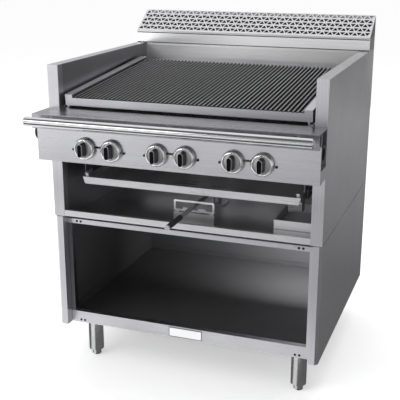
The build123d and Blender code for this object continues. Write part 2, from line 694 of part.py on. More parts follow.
gate_half = 67.0
gate_low = 550.5
gate_top = 586.0
notch_pitch = 50.0
with BuildPart() as lever_gate:
    block(lever_x - gate_half, lever_x + gate_half, gate_y, gate_y + 3, gate_low, gate_top)
    fillet(lever_gate.edges().filter_by(Axis.Y), radius=4)
    block(lever_x - gate_half, lever_x + gate_half, gate_y - 2.5, gate_y, cavity_z + gap, gate_low - 4)
    block(lever_x - gate_half, lever_x + gate_half, gate_y - 2.5, gate_y + 26, cavity_z + gap, cavity_z + 3)
    for side in (-1, 1):
        block(lever_x + side * (gate_half - 16), lever_x + side * (gate_half - 5), gate_y + 3, gate_y + 6,
              cavity_z + 2, gate_low + 4)
    block(lever_x - gate_half + 6, lever_x + gate_half - 6, gate_y - 1, gate_y + 7, 556, 580,
          Mode.SUBTRACT)
    for side in (-1, 1):
        middle = lever_x + side * notch_pitch / 2
        with BuildSketch(Plane.XZ.offset(-gate_y)):
            with BuildLine():
                Polyline((middle - 15, 555), (middle - 11, 561.9), (middle + 11, 561.9),
                         (middle + 15, 555), close=True)
            make_face()
        extrude(amount=-3)
lever_gate.part.label = "lever_gate"
export_step(lever_gate.part, "parts/lever_gate.step")

# ---------------------------------------------------------------- drip tray and grease box
tray_front = front + 64.0
lip_y = front + 50.0
lip_top = 645.0
lip_low = 623.0
tray_back = front + 515.0
tray_half = 350.0
chute = (308.0, 350.0, front + 82.0, front + 116.0)
with BuildPart() as drip_tray:
    block(-tray_half, tray_half, tray_front, tray_back, tray_z, tray_z + sheet)
    block(-tray_half, tray_half, tray_back - sheet, tray_back, tray_z, tray_z + 22)
    for side in (-1, 1):
        block(side * (tray_half - sheet), side * tray_half, tray_front, tray_back, tray_z, tray_z + 22)
    with BuildSketch(Plane.XZ.offset(-lip_y)):
        with BuildLine():
            Polyline((-tray_half - 3, lip_top), (tray_half + 3, lip_top), (tray_half - 4, lip_low),
                     (-tray_half + 4, lip_low), close=True)
        make_face()
    extrude(amount=-sheet)
    block(-tray_half - 3, tray_half + 3, lip_y, lip_y + 11, lip_top - sheet, lip_top)
    block(-tray_half + 4, tray_half - 4, lip_y, tray_front + 1, tray_z, tray_z + sheet)
    for side in (-1, 1):
        block(side * 338, side * 347, lip_y + 9, lip_y + 11, lip_top - 1, lip_top + 12)
        block(side * 338, side * 347, lip_y + 2, lip_y + 11, lip_top + 10, lip_top + 12)
    x0, x1, y0, y1 = chute
    block(x0, x1, y0, y1, 590, tray_z + 1)
    block(x0 + 1.5, x1 - 1.5, y0 + 1.5, y1 - 1.5, 580, tray_z + 10, Mode.SUBTRACT)
drip_tray.part.label = "drip_tray"
export_step(drip_tray.part, "parts/drip_tray.step")

runner_x = 356.0
with BuildPart() as tray_runners:
    for side in (-1, 1):
        run = (front + 122, front + 540)
        block(side * (runner_x - 17), side * (runner_x + sheet), *run, tray_z - gap - sheet, tray_z - gap)
        block(side * runner_x, side * (runner_x + sheet), *run, tray_z - gap - sheet, 706)
        block(side * runner_x, side * (wall_in - 0.1), *run, 706 - sheet, 706)
        block(side * runner_x, side * (runner_x + sheet), front + 78, front + 540, 655, 706)
tray_runners.part.label = "tray_runners"
export_step(tray_runners.part, "parts/tray_runners.step")

box_x0 = 279.0
box_x1 = 391.0
box_front = front + 32.0
box_back = front + 214.0
box_low = 549.5
with BuildPart() as grease_box:
    block(box_x0, box_x1, box_front, box_back, box_low, 579)
    block(box_x0 + sheet, box_x1 - sheet, box_front + sheet, box_back - sheet, box_low + sheet, 590,
          Mode.SUBTRACT)
    block(box_x0, box_x1, box_front - 3, box_front + 1, 574, 579)
    block(box_x0 - 1, box_x1 + 1, box_front - 1, box_front + 0.8, 559.5, 561, Mode.SUBTRACT)
grease_box.part.label = "grease_box"
export_step(grease_box.part, "parts/grease_box.step")

with BuildPart() as grease_box_shelf:
    shelf_top = box_low - 1.5
    block(box_x0, box_x1, box_front, box_back, shelf_top - sheet, shelf_top)
    block(box_x0, box_x1, box_front, box_front + sheet, 526.5 + gap, shelf_top)
    block(box_x0, box_x1, box_back - sheet, box_back, cavity_z + gap, shelf_top)
    block(box_x0 - 1, box_x1 + 1, box_front - 1, box_front + 0.8, 535.5, 537, Mode.SUBTRACT)
grease_box_shelf.part.label = "grease_box_shelf"
export_step(grease_box_shelf.part, "parts/grease_box_shelf.step")
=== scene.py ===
"""Looks for the gas charbroiler: materials, detail pieces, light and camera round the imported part."""
import math

import bmesh
import bpy
from mathutils import Matrix, Vector


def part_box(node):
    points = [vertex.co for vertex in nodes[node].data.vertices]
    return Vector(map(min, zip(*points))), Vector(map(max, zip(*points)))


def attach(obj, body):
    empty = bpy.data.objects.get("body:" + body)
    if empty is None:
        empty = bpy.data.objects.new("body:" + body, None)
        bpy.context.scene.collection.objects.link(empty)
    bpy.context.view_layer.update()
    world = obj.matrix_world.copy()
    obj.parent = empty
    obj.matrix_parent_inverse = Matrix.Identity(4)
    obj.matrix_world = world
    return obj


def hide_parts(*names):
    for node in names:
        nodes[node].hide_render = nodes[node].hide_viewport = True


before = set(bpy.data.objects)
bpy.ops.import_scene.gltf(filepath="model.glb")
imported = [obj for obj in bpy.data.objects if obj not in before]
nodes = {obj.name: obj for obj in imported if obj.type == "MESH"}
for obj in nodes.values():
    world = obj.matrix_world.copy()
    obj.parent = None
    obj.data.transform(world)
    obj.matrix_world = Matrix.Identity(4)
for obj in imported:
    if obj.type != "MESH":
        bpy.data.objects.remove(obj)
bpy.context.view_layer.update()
scene = bpy.context.scene

MM = 0.001
KNOB_COUNT = 6
SHARP_ANGLE = math.radians(35)


def middle(low, high, axis):
    """The middle of a box along one axis."""
    return (low[axis] + high[axis]) / 2


# ---------------------------------------------------------------- material tools
class Shader:
    """A principled material with a few helpers for adding procedural detail."""

    def __init__(self, name, color, metallic, roughness):
        self.material = bpy.data.materials.new(name)
        self.material.use_nodes = True
        self.tree = self.material.node_tree
        self.out = self.tree.nodes["Principled BSDF"]
        self.out.inputs["Base Color"].default_value = (*color, 1.0)
        self.out.inputs["Metallic"].default_value = metallic
        self.out.inputs["Roughness"].default_value = roughness
        self.coords = self.add("ShaderNodeTexCoord").outputs["Object"]
        self.height = None

    def add(self, kind, **values):
        node = self.tree.nodes.new(kind)
        for key, value in values.items():
            setattr(node, key, value)
        return node

    def link(self, source, target):
        self.tree.links.new(source, target)

    def noise(self, scale, detail=3.0, stretch=(1, 1, 1), rough=0.55):
        """A grey noise, from 0 to 1; scale is in cycles per metre."""
        mapping = self.add("ShaderNodeMapping")
        mapping.inputs["Scale"].default_value = stretch
        self.link(self.coords, mapping.inputs["Vector"])
        texture = self.add("ShaderNodeTexNoise")
        texture.inputs["Scale"].default_value = scale
        texture.inputs["Detail"].default_value = detail
        texture.inputs["Roughness"].default_value = rough
        self.link(mapping.outputs["Vector"], texture.inputs["Vector"])
        return texture.outputs["Fac"]

    def remap(self, value, low, high, to_low, to_high):
        node = self.add("ShaderNodeMapRange")
        node.inputs["From Min"].default_value = low
        node.inputs["From Max"].default_value = high
        node.inputs["To Min"].default_value = to_low
        node.inputs["To Max"].default_value = to_high
        self.link(value, node.inputs["Value"])
        return node.outputs["Result"]

    def math(self, operation, a, b):
        node = self.add("ShaderNodeMath", operation=operation)
        for socket, value in zip(node.inputs, (a, b)):
            if isinstance(value, (int, float)):
                socket.default_value = value
            else:
                self.link(value, socket)
        return node.outputs[0]

    def blend(self, factor, first, second):
        """Mixes two colours; each is a colour or a socket."""
        node = self.add("ShaderNodeMix", data_type="RGBA")
        self.link(factor, node.inputs["Factor"])
        for socket, value in ((node.inputs[6], first), (node.inputs[7], second)):
            if isinstance(value, tuple):
                socket.default_value = (*value, 1.0)
            else:
                self.link(value, socket)
        return node.outputs[2]

    def bump(self, value, strength, distance):
        node = self.add("ShaderNodeBump")
        node.inputs["Strength"].default_value = strength
        node.inputs["Distance"].default_value = distance
        self.link(value, node.inputs["Height"])
        if self.height is not None:
            self.link(self.height, node.inputs["Normal"])
        self.height = node.outputs["Normal"]
        self.link(self.height, self.out.inputs["Normal"])

    def set_color(self, value):
        self.link(value, self.out.inputs["Base Color"])

    def set_roughness(self, value):
        self.link(value, self.out.inputs["Roughness"])


def tint(color, factor):
    """A colour made lighter or darker."""
    return tuple(min(1.0, c * factor) for c in color)


# How noise is stretched for each direction of brushing.
GRAIN = {"x": (0.006, 1.0, 1.0), "y": (1.0, 0.006, 1.0), "z": (1.0, 1.0, 0.006)}


def paint_shade(s, surface, smear, shade_ramp):
    """Paints shade into a surface's colour: a tone that changes along one axis of place or facing, a
    little unevenly.

    shade_ramp is (source, axis, from, to, tone at from, tone at to), where source is "Object" for a
    place on the part or "Normal" for the way a face looks.
    """
    source, axis, start, end, low_tone, high_tone = shade_ramp
    vector = s.coords if source == "Object" else s.add("ShaderNodeNewGeometry").outputs["Normal"]
    split = s.add("ShaderNodeSeparateXYZ")
    s.link(vector, split.inputs["Vector"])
    place = split.outputs[axis]
    if source == "Normal":
        place = s.math("ABSOLUTE", place, 0.0)
    tone = s.remap(place, start, end, low_tone, high_tone)
    patchy = s.math("MULTIPLY", tone, s.remap(smear, 0.3, 0.7, 0.94, 1.06))
    scale = s.add("ShaderNodeVectorMath", operation="SCALE")
    s.link(surface, scale.inputs[0])
    s.link(patchy, scale.inputs["Scale"])
    return scale.outputs["Vector"]


def brushed_steel(name, color, roughness, grain, smudge=0.06, contrast=0.10, metallic=1.0, shade_ramp=None):
    """Brushed stainless sheet: fine grain along one axis, soft smears, faint waviness and, where
    shade_ramp is given, painted shade.
    """
    s = Shader(name, color, metallic, roughness)
    fine = s.noise(900.0, 2.0, GRAIN[grain])
    coarse = s.noise(160.0, 3.0, GRAIN[grain])
    smear = s.noise(4.0, 4.0, rough=0.6)
    grain_mix = s.math("ADD", s.math("MULTIPLY", fine, 0.6), s.math("MULTIPLY", coarse, 0.4))
    shade = s.remap(grain_mix, 0.3, 0.7, 0.0, 1.0)
    streaked = s.blend(shade, tint(color, 1.0 - contrast), tint(color, 1.0 + contrast))
    worn = s.remap(smear, 0.3, 0.75, 0.0, 0.35)
    surface = s.blend(worn, streaked, tint(color, 0.86))
    # Painted shade, where a shade_ramp is given.
    if shade_ramp:
        surface = paint_shade(s, surface, smear, shade_ramp)
    s.set_color(surface)
    s.set_roughness(s.math("ADD", s.remap(grain_mix, 0.3, 0.7, roughness - 0.05, roughness + 0.05),
                           s.remap(smear, 0.3, 0.7, -smudge, smudge)))
    s.bump(fine, 0.05, 0.0002)
    s.bump(s.noise(2.2, 1.0), 0.04, 0.004)
    return s.material


def cast_iron(name, color, roughness, worn_color=None):
    """Sand-cast iron: pitted skin, sooty mottling and, if asked, rubbed bright tops."""
    s = Shader(name, color, 0.55, roughness)
    pits = s.noise(520.0, 5.0, rough=0.7)
    mottle = s.noise(38.0, 4.0, rough=0.65)
    base = s.blend(s.remap(mottle, 0.3, 0.7, 0.0, 1.0), tint(color, 0.7), tint(color, 1.25))
    if worn_color:
        normal = s.add("ShaderNodeSeparateXYZ")
        s.link(s.add("ShaderNodeNewGeometry").outputs["Normal"], normal.inputs["Vector"])
        top = s.remap(normal.outputs["Z"], 0.85, 0.97, 0.0, 1.0)
        rubbed = s.math("MULTIPLY", top, s.remap(s.noise(60.0, 3.0), 0.2, 0.65, 0.55, 1.0))
        base = s.blend(rubbed, base, worn_color)
    s.set_color(base)
    s.set_roughness(s.remap(pits, 0.3, 0.7, roughness - 0.12, roughness + 0.14))
    s.bump(pits, 0.35, 0.0006)
    s.bump(mottle, 0.2, 0.001)
    return s.material


def smooth_metal(name, color, roughness, scratch=0.05):
    """Plated or polished metal with hairline scratches and faint fingerprints."""
    s = Shader(name, color, 1.0, roughness)
    hair = s.noise(700.0, 2.0, (1.0, 0.08, 1.0))
    film = s.noise(30.0, 4.0, rough=0.6)
    s.set_color(s.blend(s.remap(film, 0.35, 0.7, 0.0, 1.0), color, tint(color, 0.88)))
    worn = s.remap(hair, 0.35, 0.65, roughness - scratch / 2, roughness + scratch)
    s.set_roughness(s.math("ADD", worn, s.remap(film, 0.3, 0.7, 0.0, 0.06)))
    s.bump(hair, 0.04, 0.0002)
    return s.material


def painted(name, color, roughness, metallic=0.0, grain_scale=260.0, grain_depth=0.25):
    """Paint or moulded plastic with a fine orange-peel skin and dusty patches."""
    s = Shader(name, color, metallic, roughness)
    skin = s.noise(grain_scale, 3.0)
    dust = s.noise(14.0, 4.0, rough=0.65)
    dusty = tuple(c * 0.9 + 0.003 for c in color)
    s.set_color(s.blend(s.remap(dust, 0.4, 0.75, 0.0, 0.6), color, dusty))
    s.set_roughness(s.math("ADD", s.remap(skin, 0.3, 0.7, roughness - 0.04, roughness + 0.06),
                           s.remap(dust, 0.3, 0.7, -0.03, 0.06)))
    s.bump(skin, grain_depth, 0.0003)
    return s.material


def grey(level, blue=0.0):
    """A grey, with a little more blue if asked."""
    return (level, level, level + blue)


STEEL = grey(0.57, 0.025)

# The outer sheets
front_steel = brushed_steel("steel_front", STEEL, 0.30, "x")
# Painted shade: the shelf top darkens towards its right end.
shelf_steel = brushed_steel("steel_shelf", grey(0.38, 0.02), 0.28, "x",
                            shade_ramp=("Object", "X", -0.10, 0.40, 1.0, 0.80))
side_steel = brushed_steel("steel_side", STEEL, 0.34, "z")
# Painted shade: the stiles darken towards the left, so the left stile reads as shaded.
post_steel = brushed_steel("steel_post", STEEL, 0.30, "z",
                           shade_ramp=("Object", "X", -0.30, 0.30, 0.28, 1.0))
# Painted shade: faces that look to the left or right are darkened.
cap_steel = brushed_steel("steel_cap", grey(0.66, 0.02), 0.40, "x",
                          shade_ramp=("Normal", "X", 0.5, 0.9, 1.0, 0.25))
# Painted shade: the splash back darkens towards its right end.
splash_steel = brushed_steel("steel_splash", grey(0.97, 0.02), 0.38, "x", metallic=0.88,
                             shade_ramp=("Object", "X", -0.10, 0.38, 1.0, 0.66))
# Painted shade: faces that look to the left or right are darkened.
riser_steel = brushed_steel("steel_riser", grey(0.88, 0.02), 0.36, "x", contrast=0.14,
                            shade_ramp=("Normal", "X", 0.5, 0.9, 1.0, 0.36))
plate_steel = brushed_steel("plate_satin", grey(0.94, 0.01), 0.34, "x", contrast=0.03, metallic=0.5)
frame_grey = smooth_metal("plate_frame", grey(0.24, 0.01), 0.30)

# What shows in the broiler's opening
# Painted shade: the gate's lower plate, below the frame, darkens towards the bottom.
gate_steel = brushed_steel("steel_gate", grey(0.92, 0.02), 0.34, "x", metallic=0.45,
                           shade_ramp=("Object", "Z", 0.530, 0.552, 0.45, 1.0))
# Painted shade: the drip tray darkens below its lip, on the spout.
lip_steel = brushed_steel("steel_lip", grey(0.60, 0.02), 0.32, "x", metallic=0.6,
                          shade_ramp=("Object", "Z", 0.615, 0.627, 0.30, 1.0))
ledge_steel = brushed_steel("steel_ledge", grey(0.90, 0.02), 0.34, "x", metallic=0.5)
lever_steel = brushed_steel("steel_lever", grey(0.34, 0.01), 0.45, "y", metallic=0.5)
# Painted shade: the side liners darken towards the back.
inner_steel = brushed_steel("steel_inner", grey(0.36, 0.02), 0.36, "x",
                            shade_ramp=("Object", "Y", -0.05, 0.22, 1.0, 0.62))
# Painted shade: the cavity floor and the foot of the pivot post are darkened.
cavity_steel = brushed_steel("steel_cavity", grey(0.62, 0.02), 0.34, "x", metallic=0.9,
                             shade_ramp=("Object", "Z", 0.515, 0.524, 0.62, 1.0))
rack_steel = brushed_steel("steel_rack", grey(0.64, 0.02), 0.36, "x")
tray_steel = brushed_steel("steel_tray", grey(0.60, 0.02), 0.34, "x", metallic=0.8)
dark_steel = brushed_steel("steel_dark", grey(0.24, 0.01), 0.42, "x", metallic=0.8)
# Painted shade: near black, so the flue cap's holes read dark.
shade_black_sheet = painted("flue_shade_black", grey(0.012), 0.85, grain_scale=90.0)

# The inside of the storage base, near-black as painted shade
base_shade_steel = brushed_steel("steel_base_inside_shade", grey(0.085, 0.005), 0.50, "x", contrast=0.14,
                           metallic=0.4)
base_floor_shade_steel = brushed_steel("steel_base_floor_shade", grey(0.075, 0.003), 0.55, "x", contrast=0.14,
                                 metallic=0.4)

# Legs, rail, knobs and small parts
leg_steel = smooth_metal("steel_leg", grey(0.62, 0.01), 0.17)
rail_steel = brushed_steel("steel_rail", grey(0.60, 0.02), 0.13, "x", smudge=0.02)
bright = smooth_metal("knob_rim", grey(0.90, 0.01), 0.18)
# Painted shade: the grip's body and ribs are dark, as its sides in shadow.
grip_shade_grey = smooth_metal("knob_grip_shade", grey(0.13, 0.005), 0.30)
dish_grey = smooth_metal("knob_dish", grey(0.40, 0.01), 0.32)
screw_dark = smooth_metal("screw_dark", grey(0.03, 0.002), 0.40)
# Painted shade: near black, so the hinge holes read dark.
plug_shade_black = smooth_metal("plug_shade_black", grey(0.006), 0.6)
knob_black = painted("knob_black", grey(0.003, 0.001), 0.75, grain_depth=0.1)
knob_black.node_tree.nodes["Principled BSDF"].inputs["Specular IOR Level"].default_value = 0.04
grip_black = painted("grip_black", grey(0.020, 0.002), 0.45)
brass = smooth_metal("valve_brass", (0.60, 0.45, 0.22), 0.32)
tube_alloy = smooth_metal("pilot_tube", grey(0.55, 0.02), 0.30)

# Cast iron and pipe
grate_iron = cast_iron("grate_iron", grey(0.040, 0.002), 0.55, grey(0.19, 0.005))
burner_iron = cast_iron("burner_iron", grey(0.030, 0.002), 0.65)
radiant_iron = cast_iron("radiant_iron", grey(0.05, 0.002), 0.6)
pipe_black = painted("pipe_black", grey(0.018, 0.002), 0.38, 0.3)

finish = {
    front_steel: ["control_panel", "base_bottom_rail", "base_top_rail", "control_box_ends"],
    shelf_steel: ["front_shelf"],
    side_steel: ["side_shell_left", "side_shell_right", "base_side_left", "base_side_right",
                 "flue_duct_cover"],
    post_steel: ["base_stiles"],
    cap_steel: ["flue_cap"],
    splash_steel: ["splash_back"],
    riser_steel: ["flue_riser"],
    plate_steel: ["nameplate"],
    gate_steel: ["lever_gate"],
    lip_steel: ["drip_tray"],
    ledge_steel: ["grease_box_shelf"],
    lever_steel: ["lever_rod"],
    inner_steel: ["side_liner_left", "side_liner_right"],
    cavity_steel: ["cavity_floor", "lever_pivot_post"],
    rack_steel: ["rack_frame"],
    tray_steel: ["grease_box"],
    dark_steel: ["back_panel", "firebox_front", "burner_rail", "radiant_rails", "tray_runners",
                 "rack_bearings", "lift_leg", "lift_cam", "lift_roller"],
    base_shade_steel: ["base_back"],
    base_floor_shade_steel: ["base_floor"],
    leg_steel: ["leg_sockets", "leg_tubes", "foot_front_left", "foot_front_right", "foot_rear_left",
                "foot_rear_right"],
    rail_steel: ["front_rail", "rail_brackets"],
    knob_black: [f"knob_{number}" for number in range(1, KNOB_COUNT + 1)],
    screw_dark: ["panel_screws"],
    grip_black: ["lever_grip"],
    brass: ["gas_valves"],
    tube_alloy: ["pilot_tubes"],
    grate_iron: ["grates"],
    burner_iron: ["burners"],
    radiant_iron: ["radiants"],
    pipe_black: ["manifold_pipe", "manifold_cap", "manifold_coupling"],
}
for material, names in finish.items():
    for name in names:
        slots = nodes[name].material_slots
        if not slots:
            nodes[name].data.materials.append(material)
        for slot in slots:
            slot.material = material


# ---------------------------------------------------------------- mesh tools
def mesh_object(name, build, material, bevel=0.0, smooth=True):
    """A new object whose mesh is filled by build(bmesh)."""
    bm = bmesh.new()
    build(bm)
    bmesh.ops.recalc_face_normals(bm, faces=bm.faces)
    mesh = bpy.data.meshes.new(name)
    bm.to_mesh(mesh)
    bm.free()
    piece = bpy.data.objects.new(name, mesh)
    scene.collection.objects.link(piece)
    mesh.materials.append(material)
    if bevel:
        modifier = piece.modifiers.new("edge", "BEVEL")
        modifier.width = bevel
        modifier.segments = 3
        modifier.limit_method = "ANGLE"
        modifier.angle_limit = SHARP_ANGLE
    if smooth:
        for polygon in mesh.polygons:
            polygon.use_smooth = True
        mesh.set_sharp_from_angle(angle=SHARP_ANGLE)
    return piece


def bridge(bm, first, second):
    """Joins two rings of vertices with a band of faces."""
    count = len(first)
    for step in range(count):
        following = (step + 1) % count
        bm.faces.new((first[step], first[following], second[following], second[step]))


def loft(sections):
    """A builder that joins closed sections, each a list of 3-D points of equal length."""
    def build(bm):
        rings = [[bm.verts.new(point) for point in section] for section in sections]
        for first, second in zip(rings, rings[1:]):
            bridge(bm, first, second)
        bm.faces.new(rings[0])
        bm.faces.new(rings[-1])

    return build


def lathe(profile, centre, steps=64):
    """A builder for a shape turned about -Y: profile holds (radius, distance to the front)."""
    angles = [2 * math.pi * step / steps for step in range(steps)]
    return loft([[(centre[0] + radius * math.cos(angle), centre[1] - ahead,
                   centre[2] + radius * math.sin(angle)) for angle in angles]
                 for radius, ahead in profile])


def joined(*builders):
    """A builder that puts several shapes in one mesh."""
    def build(bm):
        for builder in builders:
            builder(bm)

    return build


def stadium(half_width, half_height, count=14):
    """Points (x, z) round a tall slot outline."""
    points = []
    straight = half_height - half_width
    for end in (1, -1):
        for step in range(count + 1):
            angle = math.pi * step / count + (0 if end == 1 else math.pi)
            points.append((half_width * math.cos(angle), end * straight + half_width * math.sin(angle)))
    return points


def stadium_sections(x, z, skirt, half_width, half_height, steps):
    """Outlines of a tall slot shape; steps holds (distance to the front, inset) in mm."""
    sections = []
    for ahead, inset in steps:
        outline = stadium((half_width - inset) * MM, (half_height - inset) * MM)
        sections.append([(x + a, skirt - ahead * MM, z + b) for a, b in outline])
    return sections


# ---------------------------------------------------------------- knobs
# Distances to the front are counted from the back of a knob's skirt, in mm.
SKIRT_TO_FACE = 37
SHAFT_RADIUS = 4
HUB_RADIUS = 2
FACE_HALF_SIZE = (7.4, 20.4)
BODY_HALF_SIZE = (8.4, 20.8)
INLAY_HALF_SIZE = (6.8, 19.2)
DOT_INSET = 6.0
FACE_STEPS = ((34.6, 0.4), (36.2, 0.0), (36.6, 0.5))
BODY_STEPS = ((10.6, -1.0), (13.0, -0.4), (22.0, 0.2), (34.8, 0.8))
INLAY_STEPS = ((36.3, 0.0), (36.9, 0.1), (37.0, 0.5))
RIB_OUTLINE = ((-0.6, -0.9), (0.5, -0.6), (0.5, 0.6), (-0.6, 0.9))
RIB_SIDE = 8.1
RIB_HALF_HEIGHT = 12.0
RIB_PLACES = (16.0, 20.0, 24.0, 28.0, 32.0)


def rim_profile(radius):
    """The bright ring and the shaft behind it: each step is (inset from the radius, distance) in mm."""
    ring = ((3, 0.5), (0, 3), (0, 8), (1.2, 10.2), (3.0, 12.4), (5.0, 13.8), (6.6, 14.2), (7.6, 13.6),
            (8.2, 9.5))
    return ([(SHAFT_RADIUS * MM, -16 * MM), (SHAFT_RADIUS * MM, 0.5 * MM)]
            + [(radius - inset * MM, ahead * MM) for inset, ahead in ring]
            + [(HUB_RADIUS * MM, 9.5 * MM)])


def dish_profile(radius):
    """The grey dish inside the ring."""
    dish = ((8.6, 9.6), (8.8, 10.2), (11, 10.8))
    return [(radius - inset * MM, ahead * MM) for inset, ahead in dish] + [(HUB_RADIUS * MM, 11.4 * MM)]


def grip_rib(x, z, skirt, side, ahead):
    """An upright finger rib on one side of a knob's grip."""
    return loft([[(x + side * (RIB_SIDE + a) * MM, skirt - (ahead + b) * MM, z + height * MM)
                  for a, b in RIB_OUTLINE] for height in (-RIB_HALF_HEIGHT, RIB_HALF_HEIGHT)])


def dress_knob(node):
    """Replaces a knob with a ring, a dish, a ribbed grip and a black inlay with its pointer dot."""
    low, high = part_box(node)
    x = middle(low, high, 0)
    z = middle(low, high, 2)
    radius = (high[0] - low[0]) / 2
    skirt = low[1] + SKIRT_TO_FACE * MM
    spot = (x, skirt, z)
    face_shape = loft(stadium_sections(x, z, skirt, *FACE_HALF_SIZE, FACE_STEPS))
    rim = mesh_object(f"{node}_rim", joined(lathe(rim_profile(radius), spot), face_shape), bright)
    dish = mesh_object(f"{node}_dish", lathe(dish_profile(radius), spot), dish_grey)
    grip_shape = loft(stadium_sections(x, z, skirt, *BODY_HALF_SIZE, BODY_STEPS))
    ribs = [grip_rib(x, z, skirt, side, ahead) for side in (-1, 1) for ahead in RIB_PLACES]
    # Painted shade: the grip and its ribs take the dark shadow grey.
    grip = mesh_object(f"{node}_grip", joined(grip_shape, *ribs), grip_shade_grey)
    inlay_shape = loft(stadium_sections(x, z, skirt, *INLAY_HALF_SIZE, INLAY_STEPS))
    dot_profile = [(1.2 * MM, 13.0 * MM), (1.2 * MM, 14.4 * MM), (0.7 * MM, 14.7 * MM)]
    dot_shape = lathe(dot_profile, (x, skirt, z + radius - DOT_INSET * MM), 20)
    inlay = mesh_object(f"{node}_inlay", joined(inlay_shape, dot_shape), knob_black)
    for piece in (rim, dish, grip, inlay):
        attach(piece, f"{node}_turn")
    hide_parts(node)


for number in range(1, KNOB_COUNT + 1):
    dress_knob(f"knob_{number}")


# ---------------------------------------------------------------- smaller pieces
def slab(bm, low, high):
    """Adds a box between two corners."""
    result = bmesh.ops.create_cube(bm, size=1.0)
    for vert in result["verts"]:
        vert.co = Vector([low[i] + (vert.co[i] + 0.5) * (high[i] - low[i]) for i in range(3)])


def shade_lining(name, side):
    """A near-black sheet with hemmed edges, inside a side of the storage base: painted shade."""
    thick = 1.2 * MM
    hem_thick = 2.2 * MM
    hem_tall = 10 * MM
    x = side * (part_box("base_back")[1][0] - thick)
    y0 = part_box("base_stiles")[1][1] + 2 * MM
    y1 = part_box("base_back")[0][1] - 3 * MM
    z0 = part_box("base_floor")[1][2] + 2 * MM
    z1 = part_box("base_top_rail")[1][2] - 4 * MM

    def build(bm):
        inner = x - side * thick
        slab(bm, (min(x, inner), y0, z0), (max(x, inner), y1, z1))
        hem = x - side * hem_thick
        for z in (z0, z1 - hem_tall):
            slab(bm, (min(x, hem), y0, z), (max(x, hem), y1, z + hem_tall))

    piece = mesh_object(name, build, base_floor_shade_steel, bevel=0.4 * MM)
    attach(piece, "cabinet")


# Painted shade: near-black sheets inside the base's sides.
shade_lining("base_shade_lining_left", -1)
shade_lining("base_shade_lining_right", 1)


def flue_shade_screen():
    """A near-black sheet that slopes under the pierced cap, with a hem along its lower edge: painted
    shade seen through the holes.
    """
    low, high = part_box("flue_cap")
    inset = 4 * MM
    drop = 14 * MM
    thick = 1.2 * MM
    y0, y1 = low[1] + inset, high[1] - inset
    z0, z1 = low[2] + 2 * MM, high[2] - drop
    fold_y = y0 + 12 * MM
    fold_z = z0 + 6 * MM
    outline = [(y0, z0), (y0, fold_z), (fold_y, fold_z), (y1, z1), (y1, z1 - thick),
               (fold_y, fold_z - thick), (y0 + thick, fold_z - thick), (y0 + thick, z0)]
    return loft([[(x, y, z) for y, z in outline] for x in (low[0] + inset, high[0] - inset)])


# Painted shade under the cap's holes.
screen = mesh_object("flue_shade_screen", flue_shade_screen(), shade_black_sheet)
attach(screen, "cabinet")

HINGE_HOLES_X = (357.0 * MM, 370.5 * MM)
LOW_HOLES_Z = 155 * MM
HIGH_HOLES_Z = 500 * MM


def hole_shade_plugs(name, rail, z):
    """Near-black dimpled plugs in the four door-hinge holes of a rail, each with a low round head:
    painted shade, so the holes read dark.
    """
    face_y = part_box(rail)[0][1]
    profile = [(0.7 * MM, 0.3 * MM), (1.4 * MM, 0.6 * MM), (3.0 * MM, 0.7 * MM), (3.9 * MM, 0.3 * MM),
               (3.9 * MM, 0.03 * MM), (3.1 * MM, 0.0), (3.1 * MM, -2.2 * MM), (1.5 * MM, -2.2 * MM)]
    spots = [(side * x, face_y, z) for side in (-1, 1) for x in HINGE_HOLES_X]
    plugs = mesh_object(name, joined(*[lathe(profile, spot, 24) for spot in spots]), plug_shade_black)
    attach(plugs, "cabinet")


# Painted shade in the hinge holes.
hole_shade_plugs("hole_shade_plugs_low", "base_bottom_rail", LOW_HOLES_Z)
hole_shade_plugs("hole_shade_plugs_high", "base_top_rail", HIGH_HOLES_Z)

plate_low, plate_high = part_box("nameplate")


def plate_mesh(bm):
    """The blank face of the plate, with two rivets."""
    x0, y0, z0 = plate_low
    x1, y1, z1 = plate_high
    inset = 1.2 * MM
    rivet_inset = 8 * MM
    flatten = Matrix.Diagonal((1, 0.16, 1, 1))
    slab(bm, (x0 + inset, y0 + 0.3 * MM, z0 + inset), (x1 - inset, y1, z1 - inset))
    for x in (x0 + rivet_inset, x1 - rivet_inset):
        spot = Matrix.Translation((x, y0 + 0.4 * MM, middle(plate_low, plate_high, 2))) @ flatten
        bmesh.ops.create_uvsphere(bm, u_segments=20, v_segments=12, radius=2.2 * MM, matrix=spot)


def plate_frame_mesh(bm):
    """The raised border round the plate."""
    x0, y0, z0 = plate_low
    x1, y1, z1 = plate_high
    wide = 2.4 * MM
    slab(bm, (x0, y0, z0), (x1, y1, z0 + wide))
    slab(bm, (x0, y0, z1 - wide), (x1, y1, z1))
    slab(bm, (x0, y0, z0 + wide), (x0 + wide, y1, z1 - wide))
    slab(bm, (x1 - wide, y0, z0 + wide), (x1, y1, z1 - wide))


plate = mesh_object("nameplate_blank", plate_mesh, plate_steel, bevel=0.2 * MM)
plate_frame = mesh_object("nameplate_border", plate_frame_mesh, frame_grey, bevel=0.25 * MM)
for piece in (plate, plate_frame):
    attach(piece, "cabinet")
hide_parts("nameplate")

grip_low, grip_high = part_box("lever_grip")


